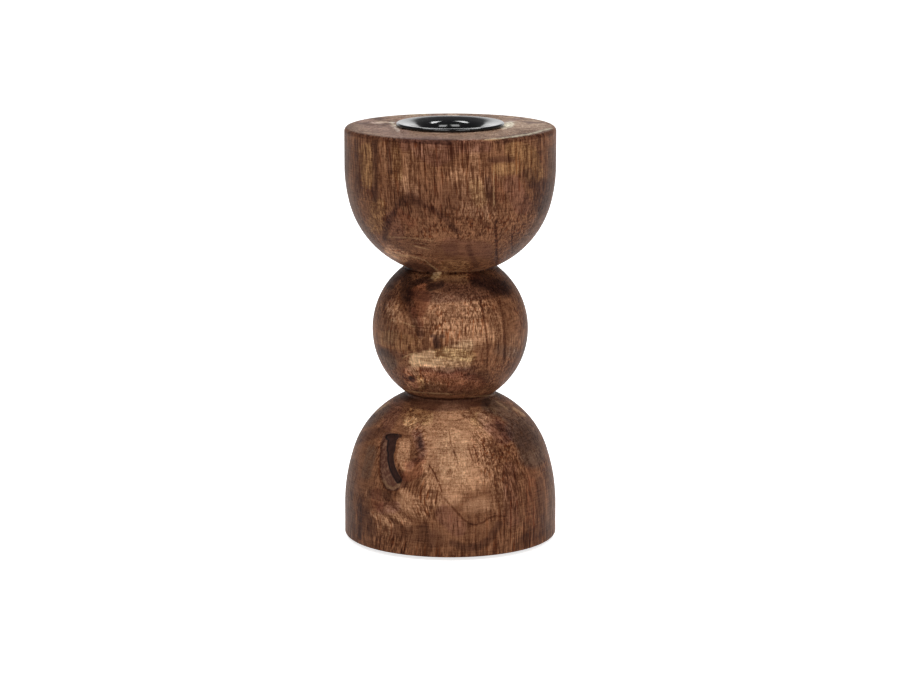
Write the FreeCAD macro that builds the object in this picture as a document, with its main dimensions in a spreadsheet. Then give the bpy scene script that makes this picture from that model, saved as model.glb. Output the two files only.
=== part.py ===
"""Turned wooden candle stand for one dinner candle.

A single block of mango wood is turned into a domed foot, a ball and a bowl-shaped head.
A black enamelled steel candle cup drops into a socket bored in the head and is held by one
wood screw through its floor. Four felt pads under the foot carry the stand.
The frame has +Z up and its origin on the table, on the turning axis. Lengths are millimetres
and angles are degrees.
"""

import FreeCAD
import Part
import Sketcher
import math
import os

from FreeCAD import Vector

# Driving dimensions, each written once

BODY_SIZES = {
    "foot_edge_round": 0.8,
    "foot_radius": 40.6,
    "foot_wall_height": 11.2,
    "foot_side_radius": 69.7,
    "foot_shoulder_radius": 34.1,
    "lower_neck_radius": 17.0,
    "lower_neck_land": 1.1,
    "ball_radius": 29.7,
    "upper_neck_radius": 17.4,
    "upper_neck_land": 0.5,
    "bowl_lower_radius": 35.9,
    "bowl_side_radius": 55.8,
    "bowl_radius": 40.0,
    "bowl_wall_height": 14.8,
    "bowl_rim_round": 1.2,
}

CUP_SIZES = {
    "candle_bore_radius": 11.5,
    "cup_sheet": 0.5,
    "cup_depth": 21.4,
    "cup_floor_fillet": 2.2,
    "cup_mouth_radius": 3.4,
    "cup_flange_radius": 20.4,
    "cup_bead_radius": 0.95,
    "cup_rim_clearance": 0.05,
}

SOCKET_SIZES = {
    "socket_clearance": 0.2,
    "socket_mouth_chamfer": 1.6,
    "pilot_clearance": 0.03,
    "pilot_extra_depth": 1.5,
    "cut_overrun": 2.0,
}

SCREW_SIZES = {
    "screw_head_radius": 3.0,
    "screw_head_height": 1.6,
    "screw_head_edge": 0.5,
    "screw_shank_radius": 1.4,
    "screw_shank_length": 9.0,
    "screw_point_length": 3.0,
    "screw_hole_clearance": 0.25,
    "screw_slot_width": 0.8,
    "screw_slot_length": 3.4,
    "screw_slot_depth": 0.9,
}

PAD_SIZES = {
    "pad_radius": 7.0,
    "pad_thickness": 1.5,
    "pad_circle_radius": 28.0,
    "pad_edge_chamfer": 0.2,
}

ANGLES = {
    "foot_side_sweep": 18.6,
    "bowl_side_sweep": 14.8,
    "cup_flange_slope": 9.0,
    "cup_curl_end": 150.0,
}

PAD_COUNT = 4
FIRST_PAD_ANGLE = 45.0
FULL_TURN = 360.0

# Heights that the turning's outline sets, read by the pieces that it carries

BODY_TOP = "Sizes.pad_thickness * 1 mm + TurnedProfile.Constraints.body_height"
CUP_FLOOR = f"{BODY_TOP} + (Sizes.cup_sheet - Sizes.cup_depth) * 1 mm"

SIZES = {**BODY_SIZES, **CUP_SIZES, **SOCKET_SIZES, **SCREW_SIZES, **PAD_SIZES, **ANGLES}

# A sketch numbers the ends of its lines and arcs, and its own axes, which start at its origin

START, END, CENTRE = range(1, 4)
HORIZONTAL_AXIS, VERTICAL_AXIS = range(-1, -3, -1)
ORIGIN = HORIZONTAL_AXIS


class Profile:
    """A closed outline in a sketch, with its constraints named after the cells that drive them."""

    def __init__(self, body, plane, name):
        self.sketch = body.newObject("Sketcher::SketchObject", name)
        self.sketch.AttachmentSupport = [(origin_plane(body, plane), "")]
        self.sketch.MapMode = "FlatFace"

    def line(self, start, end):
        return self.sketch.addGeometry(Part.LineSegment(Vector(*start), Vector(*end)))

    def arc(self, centre, radius, first, last):
        circle = Part.Circle(Vector(*centre), Vector(0, 0, 1), radius)
        return self.sketch.addGeometry(Part.ArcOfCircle(circle, first, last))

    def circle(self, centre, radius):
        return self.sketch.addGeometry(Part.Circle(Vector(*centre), Vector(0, 0, 1), radius))

    def add(self, *constraint):
        return self.sketch.addConstraint(Sketcher.Constraint(*constraint))

    def driven(self, cell, *constraint):
        """A dimension bound to a cell, or to an expression given as (name, expression)."""
        name, expression = cell if isinstance(cell, tuple) else (cell, f"Sizes.{cell}")
        index = self.add(*constraint)
        self.sketch.renameConstraint(index, name)
        self.sketch.setExpression(f"Constraints.{name}", expression)
        return index

    def measured(self, name, *constraint):
        """A dimension that the outline sets and other pieces read."""
        index = self.add(*constraint)
        self.sketch.setDriving(index, False)
        self.sketch.renameConstraint(index, name)
        return index

    def join(self, *ends):
        """Closes each pair of neighbouring ends, given as (geometry, end, geometry, end)."""
        for pair in ends:
            self.add("Coincident", *pair)

    def smooth(self, *ends):
        """Joins each pair of neighbouring ends with a shared tangent."""
        for pair in ends:
            self.add("Tangent", *pair)


def origin_plane(body, role):
    return next(f for f in body.Origin.OriginFeatures if f.Role == role)


def make_sheet(doc):
    sheet = doc.addObject("Spreadsheet::Sheet", "Sizes")
    for row, (alias, value) in enumerate(SIZES.items(), start=1):
        sheet.set(f"A{row}", alias)
        sheet.set(f"B{row}", str(value))
        sheet.setAlias(f"B{row}", alias)
    doc.recompute()
    return sheet


def new_body(doc, label):
    body = doc.addObject("PartDesign::Body", label)
    body.Label = label
    return body


def revolve(body, kind, sketch, name):
    feature = body.newObject(kind, name)
    feature.Profile = sketch
    feature.ReferenceAxis = (sketch, ["V_Axis"])
    feature.Angle = FULL_TURN
    sketch.Visibility = False
    return feature


# Turned body

def turned_outline(v):
    """First places for the outline of the turning, from the foot's edge up to the bowl's rim."""
    foot_sweep = math.radians(v.foot_side_sweep)
    bowl_sweep = math.radians(v.bowl_side_sweep)
    side = (v.foot_radius - v.foot_side_radius, v.foot_wall_height)
    step = v.foot_side_radius - v.foot_shoulder_radius
    shoulder = (side[0] + step * math.cos(foot_sweep), side[1] + step * math.sin(foot_sweep))
    shoulder_end = math.acos((v.lower_neck_radius - shoulder[0]) / v.foot_shoulder_radius)
    neck = shoulder[1] + v.foot_shoulder_radius * math.sin(shoulder_end)
    ball_start = math.acos(v.lower_neck_radius / v.ball_radius)
    ball_end = math.acos(v.upper_neck_radius / v.ball_radius)
    ball_foot = neck + v.lower_neck_land
    ball_centre = ball_foot + v.ball_radius * math.sin(ball_start)
    ball_top = ball_centre + v.ball_radius * math.sin(ball_end)
    bowl_foot = ball_top + v.upper_neck_land
    bowl_step = v.bowl_side_radius - v.bowl_lower_radius
    lower_x = v.bowl_radius - v.bowl_side_radius + bowl_step * math.cos(bowl_sweep)
    lower_start = math.acos((v.upper_neck_radius - lower_x) / v.bowl_lower_radius)
    lower = (lower_x, bowl_foot + v.bowl_lower_radius * math.sin(lower_start))
    bowl_side = (v.bowl_radius - v.bowl_side_radius, lower[1] + bowl_step * math.sin(bowl_sweep))
    return {
        "side": side, "foot_sweep": foot_sweep, "shoulder": shoulder,
        "shoulder_end": shoulder_end, "neck": neck, "ball_foot": ball_foot,
        "ball_centre": ball_centre, "ball_start": ball_start, "ball_end": ball_end,
        "ball_top": ball_top, "bowl_foot": bowl_foot, "lower": lower,
        "lower_start": lower_start, "bowl_sweep": bowl_sweep, "bowl_side": bowl_side,
        "top": bowl_side[1] + v.bowl_wall_height,
    }


def turned_profile(body, v):
    """Half of the turning's section: foot, lower neck, ball, upper neck and bowl."""
    at = turned_outline(v)
    quarter = math.pi / 2
    foot_corner = v.foot_radius - v.foot_edge_round
    rim_corner = v.bowl_radius - v.bowl_rim_round
    p = Profile(body, "XZ_Plane", "TurnedProfile")
    foot = p.line((0, 0), (foot_corner, 0))
    edge = p.arc((foot_corner, v.foot_edge_round), v.foot_edge_round, -quarter, 0)
    wall = p.line((v.foot_radius, v.foot_edge_round), (v.foot_radius, v.foot_wall_height))
    side = p.arc(at["side"], v.foot_side_radius, 0, at["foot_sweep"])
    shoulder = p.arc(at["shoulder"], v.foot_shoulder_radius, at["foot_sweep"], at["shoulder_end"])
    lower_land = p.line((v.lower_neck_radius, at["neck"]), (v.lower_neck_radius, at["ball_foot"]))
    ball = p.arc((0, at["ball_centre"]), v.ball_radius, -at["ball_start"], at["ball_end"])
    upper_land = p.line((v.upper_neck_radius, at["ball_top"]), (v.upper_neck_radius, at["bowl_foot"]))
    lower = p.arc(at["lower"], v.bowl_lower_radius, -at["lower_start"], -at["bowl_sweep"])
    bowl_side = p.arc(at["bowl_side"], v.bowl_side_radius, -at["bowl_sweep"], 0)
    bowl_wall = p.line((v.bowl_radius, at["bowl_side"][1]), (v.bowl_radius, at["top"] - v.bowl_rim_round))
    rim = p.arc((rim_corner, at["top"] - v.bowl_rim_round), v.bowl_rim_round, 0, quarter)
    top = p.line((rim_corner, at["top"]), (0, at["top"]))
    axis = p.line((0, at["top"]), (0, 0))

    p.join(
        (foot, START, ORIGIN, START),
        (shoulder, END, lower_land, START),
        (lower_land, END, ball, START),
        (ball, END, upper_land, START),
        (upper_land, END, lower, START),
        (top, END, axis, START),
        (axis, END, foot, START),
    )
    p.smooth(
        (foot, END, edge, START),
        (edge, END, wall, START),
        (wall, END, side, START),
        (side, END, shoulder, START),
        (lower, END, bowl_side, START),
        (bowl_side, END, bowl_wall, START),
        (bowl_wall, END, rim, START),
        (rim, END, top, START),
    )
    for level in (foot, top):
        p.add("Horizontal", level)
    for upright in (wall, lower_land, upper_land, bowl_wall, axis):
        p.add("Vertical", upright)
    p.add("PointOnObject", ball, CENTRE, VERTICAL_AXIS)
    p.driven("foot_edge_round", "Radius", edge, v.foot_edge_round)
    p.driven("foot_radius", "DistanceX", ORIGIN, START, wall, END, v.foot_radius)
    p.driven("foot_wall_height", "DistanceY", ORIGIN, START, wall, END, v.foot_wall_height)
    p.driven("foot_side_radius", "Radius", side, v.foot_side_radius)
    p.driven("foot_side_sweep", "Angle", side, at["foot_sweep"])
    p.driven("foot_shoulder_radius", "Radius", shoulder, v.foot_shoulder_radius)
    p.driven("lower_neck_radius", "DistanceX", ORIGIN, START, lower_land, START, v.lower_neck_radius)
    p.driven("lower_neck_land", "DistanceY", lower_land, START, lower_land, END, v.lower_neck_land)
    p.driven("ball_radius", "Radius", ball, v.ball_radius)
    p.driven("upper_neck_radius", "DistanceX", ORIGIN, START, upper_land, START, v.upper_neck_radius)
    p.driven("upper_neck_land", "DistanceY", upper_land, START, upper_land, END, v.upper_neck_land)
    p.driven("bowl_lower_radius", "Radius", lower, v.bowl_lower_radius)
    p.driven("bowl_side_radius", "Radius", bowl_side, v.bowl_side_radius)
    p.driven("bowl_side_sweep", "Angle", bowl_side, at["bowl_sweep"])
    p.driven("bowl_radius", "DistanceX", ORIGIN, START, bowl_wall, START, v.bowl_radius)
    p.driven("bowl_wall_height", "DistanceY", bowl_wall, START, top, START, v.bowl_wall_height)
    p.driven("bowl_rim_round", "Radius", rim, v.bowl_rim_round)
    p.measured("body_height", "DistanceY", ORIGIN, START, top, START, at["top"])
    return p.sketch, at["top"]


def socket_profile(body, v, top):
    """Half of the bored socket: chamfered mouth, straight bore, flat floor and pilot hole."""
    bore = v.candle_bore_radius + v.cup_sheet + v.socket_clearance
    mouth = bore + v.socket_mouth_chamfer
    pilot = v.screw_shank_radius + v.pilot_clearance
    floor = top - v.cup_depth
    pilot_depth = v.screw_shank_length + v.pilot_extra_depth
    point = floor - pilot_depth - pilot
    over = top + v.cut_overrun
    p = Profile(body, "XZ_Plane", "SocketProfile")
    lid = p.line((0, over), (mouth, over))
    throat = p.line((mouth, over), (mouth, top))
    chamfer = p.line((mouth, top), (bore, top - v.socket_mouth_chamfer))
    wall = p.line((bore, top - v.socket_mouth_chamfer), (bore, floor))
    shelf = p.line((bore, floor), (pilot, floor))
    drill = p.line((pilot, floor), (pilot, floor - pilot_depth))
    tip = p.line((pilot, floor - pilot_depth), (0, point))
    axis = p.line((0, point), (0, over))
    order = (lid, throat, chamfer, wall, shelf, drill, tip, axis)
    p.join(*((a, END, b, START) for a, b in zip(order, order[1:] + order[:1])))
    for level in (lid, shelf):
        p.add("Horizontal", level)
    for upright in (throat, wall, drill, axis):
        p.add("Vertical", upright)
    p.add("PointOnObject", axis, START, VERTICAL_AXIS)
    height = "TurnedProfile.Constraints.body_height"
    bore_rule = "Sizes.candle_bore_radius + Sizes.cup_sheet + Sizes.socket_clearance"
    p.driven(("socket_top", height), "DistanceY", ORIGIN, START, throat, END, top)
    p.driven("cut_overrun", "DistanceY", throat, END, throat, START, v.cut_overrun)
    p.driven(("bore_radius", bore_rule), "DistanceX", ORIGIN, START, wall, START, bore)
    p.driven("socket_mouth_chamfer", "DistanceY", chamfer, END, chamfer, START, v.socket_mouth_chamfer)
    p.driven(("mouth_width", "Sizes.socket_mouth_chamfer"),
             "DistanceX", chamfer, END, chamfer, START, v.socket_mouth_chamfer)
    p.driven("cup_depth", "DistanceY", shelf, START, throat, END, v.cup_depth)
    p.driven(("pilot_radius", "Sizes.screw_shank_radius + Sizes.pilot_clearance"),
             "DistanceX", ORIGIN, START, drill, START, pilot)
    p.driven(("pilot_depth", "Sizes.screw_shank_length + Sizes.pilot_extra_depth"),
             "DistanceY", drill, END, drill, START, pilot_depth)
    p.driven(("drill_point", "Sizes.screw_shank_radius + Sizes.pilot_clearance"),
             "DistanceY", tip, END, tip, START, pilot)
    return p.sketch


def make_turned_body(doc, v):
    body = new_body(doc, "turned_body")
    profile, top = turned_profile(body, v)
    revolve(body, "PartDesign::Revolution", profile, "Turning")
    doc.recompute()
    before = body.Shape.Volume
    socket = socket_profile(body, v, top)
    revolve(body, "PartDesign::Groove", socket, "Socket")
    doc.recompute()
    if not body.Shape.Volume < before:
        raise RuntimeError("the socket cut nothing out of the turned body")
    body.setExpression("Placement.Base.z", "Sizes.pad_thickness")
    return body


# Candle cup

def cup_profile(body, v):
    """Section of the drawn sheet: floor, well, flared mouth, sloping flange and curled bead."""
    slope = math.radians(v.cup_flange_slope)
    curl = -math.radians(v.cup_curl_end)
    quarter = math.pi / 2
    flare = quarter + slope
    hole = v.screw_shank_radius + v.screw_hole_clearance
    outer = v.candle_bore_radius + v.cup_sheet
    floor = -v.cup_depth
    floor_top = floor + v.cup_sheet
    corner = (v.candle_bore_radius - v.cup_floor_fillet, floor_top + v.cup_floor_fillet)
    bead = (v.cup_flange_radius - v.cup_bead_radius, v.cup_rim_clearance + v.cup_bead_radius)
    mouth_x = v.candle_bore_radius + v.cup_mouth_radius
    drop = v.cup_mouth_radius - v.cup_bead_radius + math.sin(slope) * (bead[0] - mouth_x)
    mouth = (mouth_x, bead[1] - drop / math.cos(slope))
    under_mouth = v.cup_mouth_radius - v.cup_sheet
    under_bead = v.cup_bead_radius - v.cup_sheet

    def on(centre, radius, angle):
        return (centre[0] + radius * math.cos(angle), centre[1] + radius * math.sin(angle))

    p = Profile(body, "XZ_Plane", "CupProfile")
    floor_in = p.line((hole, floor_top), (corner[0], floor_top))
    fillet_in = p.arc(corner, v.cup_floor_fillet, -quarter, 0)
    wall_in = p.line((v.candle_bore_radius, corner[1]), (v.candle_bore_radius, mouth[1]))
    mouth_in = p.arc(mouth, v.cup_mouth_radius, flare, math.pi)
    flange_in = p.line(on(mouth, v.cup_mouth_radius, flare), on(bead, v.cup_bead_radius, flare))
    bead_out = p.arc(bead, v.cup_bead_radius, curl, flare)
    cut_edge = p.line(on(bead, v.cup_bead_radius, curl), on(bead, under_bead, curl))
    bead_in = p.arc(bead, under_bead, curl, flare)
    flange_out = p.line(on(bead, under_bead, flare), on(mouth, under_mouth, flare))
    mouth_out = p.arc(mouth, under_mouth, flare, math.pi)
    wall_out = p.line((outer, mouth[1]), (outer, corner[1]))
    fillet_out = p.arc(corner, v.cup_floor_fillet + v.cup_sheet, -quarter, 0)
    floor_out = p.line((corner[0], floor), (hole, floor))
    hole_edge = p.line((hole, floor), (hole, floor_top))

    p.join(
        (bead_out, START, cut_edge, START),
        (cut_edge, END, bead_in, START),
        (floor_out, END, hole_edge, START),
        (hole_edge, END, floor_in, START),
        (mouth_in, CENTRE, mouth_out, CENTRE),
        (bead_out, CENTRE, bead_in, CENTRE),
        (fillet_in, CENTRE, fillet_out, CENTRE),
    )
    p.smooth(
        (floor_in, END, fillet_in, START),
        (fillet_in, END, wall_in, START),
        (wall_in, END, mouth_in, END),
        (mouth_in, START, flange_in, START),
        (flange_in, END, bead_out, END),
        (bead_in, END, flange_out, START),
        (flange_out, END, mouth_out, START),
        (mouth_out, END, wall_out, START),
        (wall_out, END, fillet_out, END),
        (fillet_out, START, floor_out, START),
    )
    for level in (floor_in, floor_out):
        p.add("Horizontal", level)
    for upright in (wall_in, wall_out, hole_edge):
        p.add("Vertical", upright)
    p.add("Perpendicular", cut_edge, bead_out)
    p.driven(("screw_hole", "Sizes.screw_shank_radius + Sizes.screw_hole_clearance"),
             "DistanceX", ORIGIN, START, hole_edge, START, hole)
    p.driven("cup_depth", "DistanceY", floor_out, END, ORIGIN, START, v.cup_depth)
    p.driven("cup_sheet", "DistanceY", hole_edge, START, hole_edge, END, v.cup_sheet)
    p.driven("cup_floor_fillet", "Radius", fillet_in, v.cup_floor_fillet)
    p.driven("candle_bore_radius", "DistanceX", ORIGIN, START, wall_in, START, v.candle_bore_radius)
    p.driven("cup_mouth_radius", "Radius", mouth_in, v.cup_mouth_radius)
    p.driven("cup_bead_radius", "Radius", bead_out, v.cup_bead_radius)
    p.driven(("bead_under", "Sizes.cup_bead_radius - Sizes.cup_sheet"), "Radius", bead_in, under_bead)
    p.driven(("bead_centre", "Sizes.cup_flange_radius - Sizes.cup_bead_radius"),
             "DistanceX", ORIGIN, START, bead_out, CENTRE, bead[0])
    p.driven(("bead_height", "Sizes.cup_rim_clearance + Sizes.cup_bead_radius"),
             "DistanceY", ORIGIN, START, bead_out, CENTRE, bead[1])
    p.driven(("mouth_sweep", "90 deg - Sizes.cup_flange_slope * 1 deg"),
             "Angle", mouth_in, math.pi - flare)
    p.driven(("bead_sweep", "90 deg + (Sizes.cup_flange_slope + Sizes.cup_curl_end) * 1 deg"),
             "Angle", bead_out, flare - curl)
    p.measured("bore_bottom", "DistanceY", wall_in, START, ORIGIN, START, -corner[1])
    p.measured("bore_length", "DistanceY", wall_in, START, wall_in, END, mouth[1] - corner[1])
    return p.sketch


def make_candle_cup(doc, v):
    body = new_body(doc, "candle_cup")
    revolve(body, "PartDesign::Revolution", cup_profile(body, v), "DrawnSheet")
    body.setExpression("Placement.Base.z", BODY_TOP)
    return body


# Cup screw

def screw_profile(body, v):
    """Half of a pan-head wood screw, with the underside of its head at zero."""
    dome = v.screw_head_height - v.screw_head_edge
    crown = (v.screw_head_radius ** 2 + dome ** 2) / (2 * dome)
    crown_centre = v.screw_head_height - crown
    crown_edge = math.asin((v.screw_head_edge - crown_centre) / crown)
    p = Profile(body, "XZ_Plane", "ScrewProfile")
    seat = p.line((v.screw_shank_radius, 0), (v.screw_head_radius, 0))
    edge = p.line((v.screw_head_radius, 0), (v.screw_head_radius, v.screw_head_edge))
    top = p.arc((0, crown_centre), crown, crown_edge, math.pi / 2)
    axis = p.line((0, v.screw_head_height), (0, -v.screw_shank_length))
    point = p.line((0, -v.screw_shank_length),
                   (v.screw_shank_radius, v.screw_point_length - v.screw_shank_length))
    shank = p.line((v.screw_shank_radius, v.screw_point_length - v.screw_shank_length),
                   (v.screw_shank_radius, 0))
    p.join(
        (seat, END, edge, START),
        (edge, END, top, START),
        (top, END, axis, START),
        (axis, END, point, START),
        (point, END, shank, START),
        (shank, END, seat, START),
    )
    p.add("Horizontal", seat)
    for upright in (edge, axis, shank):
        p.add("Vertical", upright)
    p.add("PointOnObject", seat, START, HORIZONTAL_AXIS)
    p.add("PointOnObject", axis, START, VERTICAL_AXIS)
    p.add("PointOnObject", top, CENTRE, VERTICAL_AXIS)
    p.driven("screw_head_radius", "DistanceX", ORIGIN, START, edge, START, v.screw_head_radius)
    p.driven("screw_head_edge", "DistanceY", edge, START, edge, END, v.screw_head_edge)
    p.driven("screw_head_height", "DistanceY", ORIGIN, START, axis, START, v.screw_head_height)
    p.driven("screw_shank_radius", "DistanceX", ORIGIN, START, shank, END, v.screw_shank_radius)
    p.driven("screw_shank_length", "DistanceY", axis, END, ORIGIN, START, v.screw_shank_length)
    p.driven("screw_point_length", "DistanceY", point, START, point, END, v.screw_point_length)
    return p.sketch


def slot_profile(body, v, name, turned):
    """One bar of the cross recess, centred on the axis; the second bar is turned a quarter."""
    half_x = (v.screw_slot_width if turned else v.screw_slot_length) / 2
    half_y = (v.screw_slot_length if turned else v.screw_slot_width) / 2
    corners = [(-half_x, -half_y), (half_x, -half_y), (half_x, half_y), (-half_x, half_y)]
    p = Profile(body, "XY_Plane", name)
    bars = [p.line(a, b) for a, b in zip(corners, corners[1:] + corners[:1])]
    p.join(*((a, END, b, START) for a, b in zip(bars, bars[1:] + bars[:1])))
    p.add("Horizontal", bars[0])
    p.add("Horizontal", bars[2])
    p.add("Vertical", bars[1])
    p.add("Vertical", bars[3])
    p.add("Symmetric", bars[0], START, bars[2], START, ORIGIN, START)
    wide, high = ("width", "length") if turned else ("length", "width")
    p.driven((f"{name}_wide", f"Sizes.screw_slot_{wide}"),
             "DistanceX", bars[0], START, bars[0], END, 2 * half_x)
    p.driven((f"{name}_high", f"Sizes.screw_slot_{high}"),
             "DistanceY", bars[1], START, bars[1], END, 2 * half_y)
    p.sketch.setExpression("AttachmentOffset.Base.z", "Sizes.screw_head_height + Sizes.cut_overrun")
    return p.sketch


def make_cup_screw(doc, v):
    body = new_body(doc, "cup_screw")
    revolve(body, "PartDesign::Revolution", screw_profile(body, v), "ScrewBlank")
    doc.recompute()
    for name, turned in (("SlotAlong", False), ("SlotAcross", True)):
        before = body.Shape.Volume
        slot = body.newObject("PartDesign::Pocket", name)
        slot.Profile = slot_profile(body, v, f"{name}Profile", turned)
        slot.setExpression("Length", "Sizes.cut_overrun + Sizes.screw_slot_depth")
        doc.recompute()
        if not body.Shape.Volume < before:
            raise RuntimeError(f"{name} cut nothing out of the screw's head")
    body.setExpression("Placement.Base.z", CUP_FLOOR)
    return body


# Felt pads

def make_felt_pad(doc, v, number):
    angle = FIRST_PAD_ANGLE + (number - 1) * FULL_TURN / PAD_COUNT
    body = new_body(doc, f"felt_pad_{number}")
    p = Profile(body, "XY_Plane", f"Pad{number}Profile")
    disc = p.circle((0, 0), v.pad_radius)
    p.join((disc, CENTRE, ORIGIN, START))
    p.driven("pad_radius", "Radius", disc, v.pad_radius)
    pad = body.newObject("PartDesign::Pad", f"Felt{number}")
    pad.Profile = p.sketch
    pad.setExpression("Length", "Sizes.pad_thickness")
    doc.recompute()
    rim = next(f"Edge{i}" for i, e in enumerate(pad.Shape.Edges, start=1)
               if len(e.Vertexes) == 1 and e.BoundBox.ZMax < v.pad_thickness / 2)
    chamfer = body.newObject("PartDesign::Chamfer", f"FeltEdge{number}")
    chamfer.Base = (pad, [rim])
    chamfer.setExpression("Size", "Sizes.pad_edge_chamfer")
    body.setExpression("Placement.Base.x", f"Sizes.pad_circle_radius * cos({angle})")
    body.setExpression("Placement.Base.y", f"Sizes.pad_circle_radius * sin({angle})")
    return body


class Values:
    """The sheet's numbers, read back from its cells."""

    def __init__(self, sheet):
        for alias in SIZES:
            setattr(self, alias, float(sheet.get(alias)))


def check(doc, pieces):
    for item in doc.Objects:
        if "Invalid" in item.State or "Error" in item.State:
            raise RuntimeError(f"{item.Label} failed: {item.State}")
    for piece in pieces:
        if piece.Shape.isNull() or not piece.Shape.isValid():
            raise RuntimeError(f"{piece.Label} has no valid shape")


def main():
    doc = FreeCAD.newDocument("CandleStand")
    v = Values(make_sheet(doc))
    pieces = [make_turned_body(doc, v), make_candle_cup(doc, v), make_cup_screw(doc, v)]
    pieces += [make_felt_pad(doc, v, n) for n in range(1, PAD_COUNT + 1)]
    doc.recompute()
    check(doc, pieces)
    os.makedirs("parts", exist_ok=True)
    for piece in pieces:
        piece.Shape.exportStep(f"parts/{piece.Label}.step")
    turned = doc.getObject("TurnedProfile")
    cup = doc.getObject("CupProfile")
    print("turned body height", turned.getDatum("body_height"))
    print("candle bore length", cup.getDatum("bore_length"), "bottom", cup.getDatum("bore_bottom"))
    for sketch in (s for s in doc.Objects if s.TypeId == "Sketcher::SketchObject"):
        print(sketch.Name, "fully constrained", sketch.solve() == 0 and sketch.FullyConstrained)
    for piece in pieces:
        box = piece.Shape.BoundBox
        print(piece.Label, "z", round(box.ZMin, 3), round(box.ZMax, 3), "volume", round(piece.Shape.Volume, 2))


main()
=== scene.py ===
"""Looks of a turned wooden candle stand: wood figure, enamelled cup, felt, light and camera.

Everything is in metres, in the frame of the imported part: +Z up, the origin on the table on the
turning axis, and the photographed side facing -Y.
"""

import math
from types import SimpleNamespace

import bpy
import numpy as np
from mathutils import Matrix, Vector


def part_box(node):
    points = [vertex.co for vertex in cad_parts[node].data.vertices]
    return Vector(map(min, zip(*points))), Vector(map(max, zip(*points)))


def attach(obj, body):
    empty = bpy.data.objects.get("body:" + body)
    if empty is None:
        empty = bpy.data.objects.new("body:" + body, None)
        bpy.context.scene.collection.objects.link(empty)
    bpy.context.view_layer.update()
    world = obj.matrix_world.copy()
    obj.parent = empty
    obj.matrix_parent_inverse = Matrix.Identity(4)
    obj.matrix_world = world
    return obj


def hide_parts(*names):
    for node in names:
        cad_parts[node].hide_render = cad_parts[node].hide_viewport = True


MM = 0.001

# Camera, as fitted to the photograph's outline. The sensor's width is in millimetres

PHOTO_SIZE = (900, 675)
FOCAL_PIXELS = 3154.7
CAMERA_PLACE = Vector((-0.0001, -1.1819, 0.3109))
CAMERA_TILT = math.radians(11.17)
SENSOR = 36.0

# Turned body: radii and heights of its outline, from the foot up

PAD_THICKNESS = 1.5 * MM
FOOT_EDGE_ROUND = 0.8 * MM
FOOT_RADIUS = 40.6 * MM
FOOT_WALL_HEIGHT = 11.2 * MM
FOOT_SIDE_RADIUS = 69.7 * MM
FOOT_SIDE_SWEEP = math.radians(18.6)
FOOT_SHOULDER_RADIUS = 34.1 * MM
LOWER_NECK_RADIUS = 17.0 * MM
LOWER_NECK_LAND = 1.1 * MM
BALL_RADIUS = 29.7 * MM
UPPER_NECK_RADIUS = 17.4 * MM
UPPER_NECK_LAND = 0.5 * MM
BOWL_LOWER_RADIUS = 35.9 * MM
BOWL_SIDE_RADIUS = 55.8 * MM
BOWL_SIDE_SWEEP = math.radians(14.8)
BOWL_RADIUS = 40.0 * MM
BOWL_WALL_HEIGHT = 14.8 * MM
BOWL_RIM_ROUND = 1.7 * MM

# Socket and cup

CANDLE_BORE_RADIUS = 11.5 * MM
CUP_SHEET = 0.5 * MM
CUP_DEPTH = 21.4 * MM
CUP_FLOOR_FILLET = 2.2 * MM
CUP_MOUTH_RADIUS = 3.4 * MM
CUP_FLANGE_TIP = math.radians(2)
CUP_FLANGE_ROOT = math.radians(16)
CUP_FLANGE_RADIUS = 20.4 * MM
CUP_BEAD_RADIUS = 0.7 * MM
CUP_CURL_END = math.radians(150)
CUP_RIM_CLEARANCE = 0.05 * MM
SOCKET_CLEARANCE = 0.2 * MM
SOCKET_MOUTH_CHAMFER = 1.6 * MM
PILOT_RADIUS = 1.43 * MM
PILOT_DEPTH = 10.5 * MM
SCREW_HOLE_RADIUS = 1.65 * MM

# Felt pads

PAD_COUNT = 4
PAD_EDGE_ROUND = 0.35 * MM
PAD_UNEVENNESS = 0.006
PAD_WAVES = (5, 13)

# Mesh steps along an outline, and sectors around the axis: from one angle to another in steps, in
# degrees, with zero in front

FINE_STEP = 0.4 * MM
STEP = 0.7 * MM
COARSE_STEP = 2.4 * MM
CUP_STEP = 0.25 * MM
SECTORS = ((-90, -50, 1.1), (-50, -24, 0.55), (-24, 90, 1.1), (90, 270, 4.0))
CUP_COLUMNS = 192

QUARTER = math.pi / 2
SAME_PLACE = 1e-7
ON_AXIS = 1e-9


# Outlines and turned meshes

def arc(centre, radius, first, last, step):
    """Points of an arc from one angle to another."""
    count = max(2, math.ceil(abs(last - first) * radius / step)) + 1
    turn = np.linspace(first, last, count)
    return np.column_stack((centre[0] + radius * np.cos(turn), centre[1] + radius * np.sin(turn)))


def line(start, end, step):
    """Points of a straight stretch."""
    count = max(1, math.ceil(math.dist(start, end) / step)) + 1
    return np.linspace(start, end, count)


def outline(*stretches):
    """The stretches as one run of points, each shared end kept once."""
    points = np.vstack(stretches)
    apart = np.hypot(*np.diff(points, axis=0).T) > SAME_PLACE
    return points[np.append(True, apart)]


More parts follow.
